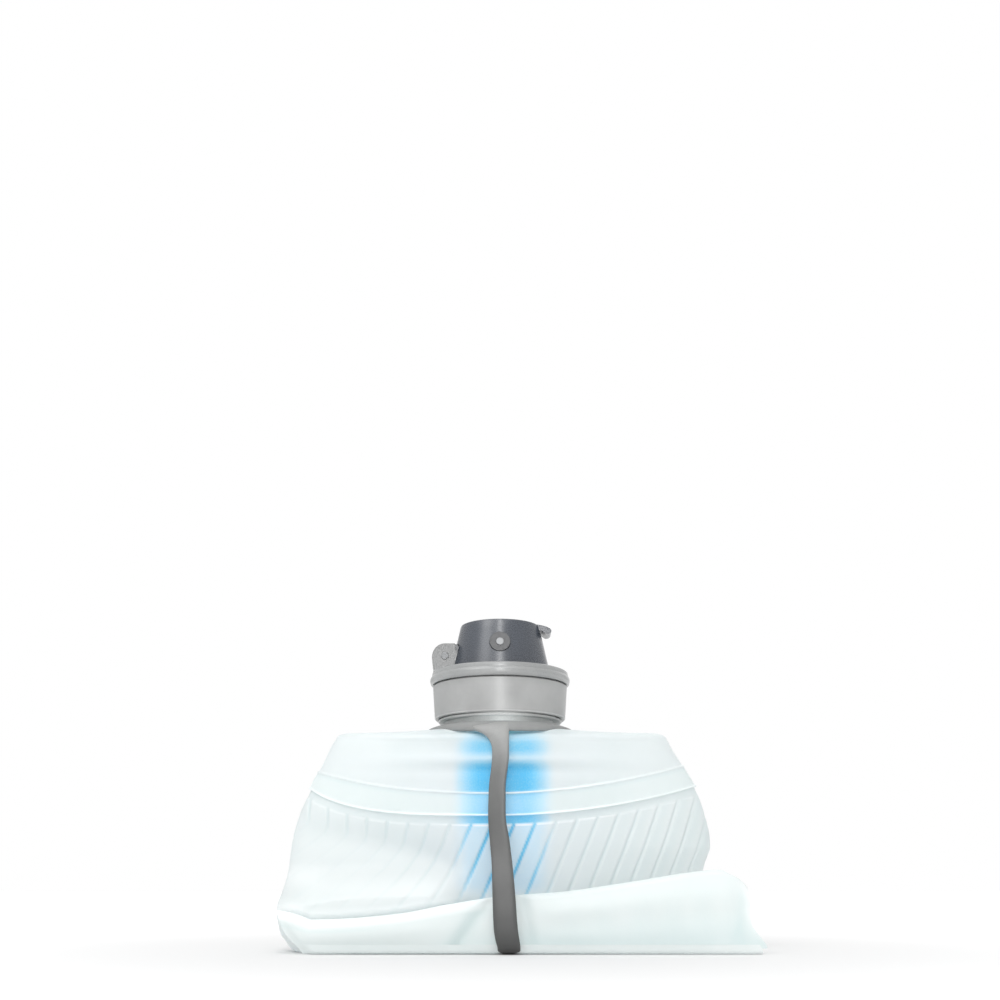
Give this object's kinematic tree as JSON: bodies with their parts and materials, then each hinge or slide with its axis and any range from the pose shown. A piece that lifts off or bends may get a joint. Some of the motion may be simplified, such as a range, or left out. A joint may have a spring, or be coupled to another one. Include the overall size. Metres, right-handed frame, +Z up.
{
  "type": "folding water bottle",
  "caption": "Soft collapsible water bottle folded up for packing, with a screw cap, flip-up dust lid, drinking nozzle, hollow-fibre filter and a rubber bail strap.",
  "frame": {"origin": "on the table under the axis of the neck, at the strap's underside", "axes": "+Z up along the neck, +X across the bag towards the side where the rolled tail sticks out, -Y towards the folded tail (front)"},
  "size_m": [0.1831, 0.0723, 0.1309],
  "materials": {
    "film": "frosted translucent film",
    "rubber": "matt",
    "seal": "matt",
    "dark_rubber": "matt",
    "light_plastic": "fine matt",
    "neck_plastic": "matt",
    "lid_plastic": "satin",
    "badge": "gloss",
    "metal": "brushed",
    "blue": "translucent blue",
    "potting": "cast resin",
    "fibre": "matt"
  },
  "bodies": {
    "bag": {"neck": "neck_plastic", "shoulder_film": "film", "wall_film": "film", "bail_ring": "rubber"},
    "strap": {"bail_strap": "rubber"},
    "tail_front": {"tail_front_panel": "film"},
    "tail_rear": {"tail_rear_panel": "film", "tail_weld": "film"},
    "filter": {"filter_hub": "blue", "hub_o_ring": "dark_rubber", "filter_potting": "potting", "hollow_fibres": "fibre", "filter_cage": "blue", "filter_end_cap": "blue"},
    "cap": {"collar": "light_plastic", "cap_gasket": "seal", "cap_deck": "light_plastic", "drink_nozzle": "light_plastic", "nozzle_seal_ring": "seal", "hinge_pin": "metal"},
    "flip_lid": {"lid": "lid_plastic", "lid_seal": "seal", "lid_badge": "badge", "badge_stud": "metal"}
  },
  "joints": [
    {"name": "bail_swing", "type": "hinge", "parent": "bag", "child": "strap", "pos_m": [0, 0, 0.0882], "axis": [0, 1, 0], "range_deg": [0, 180], "deforming": ["bail_strap"]},
    {"name": "tail_fold", "type": "hinge", "parent": "bag", "child": "tail_front", "pos_m": [0, -0.0364, 0.002], "axis": [1, 0, 0], "range_deg": [0, 90]},
    {"name": "tail_crease", "type": "hinge", "parent": "tail_front", "child": "tail_rear", "pos_m": [0, -0.0335, 0.0209], "axis": [0.994, 0, 0.1093], "range_deg": [0, 180]},
    {"name": "cap_rise", "type": "slide", "parent": "bag", "child": "filter", "axis": [0, 0, 1], "range_m": [0, 0.006]},
    {"name": "cap_turn", "type": "hinge", "parent": "filter", "child": "cap", "pos_m": [0, 0, 0.1], "axis": [0, 0, 1], "range_deg": [0, 540]},
    {"name": "lid_flip", "type": "hinge", "parent": "cap", "child": "flip_lid", "pos_m": [-0.0227, 0, 0.1171], "axis": [0, -1, 0], "range_deg": [0, 140]}
  ],
  "couplings": [
    {"joint": "tail_fold", "follows": "bail_swing", "ratio": 0.5},
    {"joint": "tail_crease", "follows": "bail_swing", "ratio": 1},
    {"joint": "cap_rise", "follows": "cap_turn", "m_per_rad": 0.00063662}
  ]
}
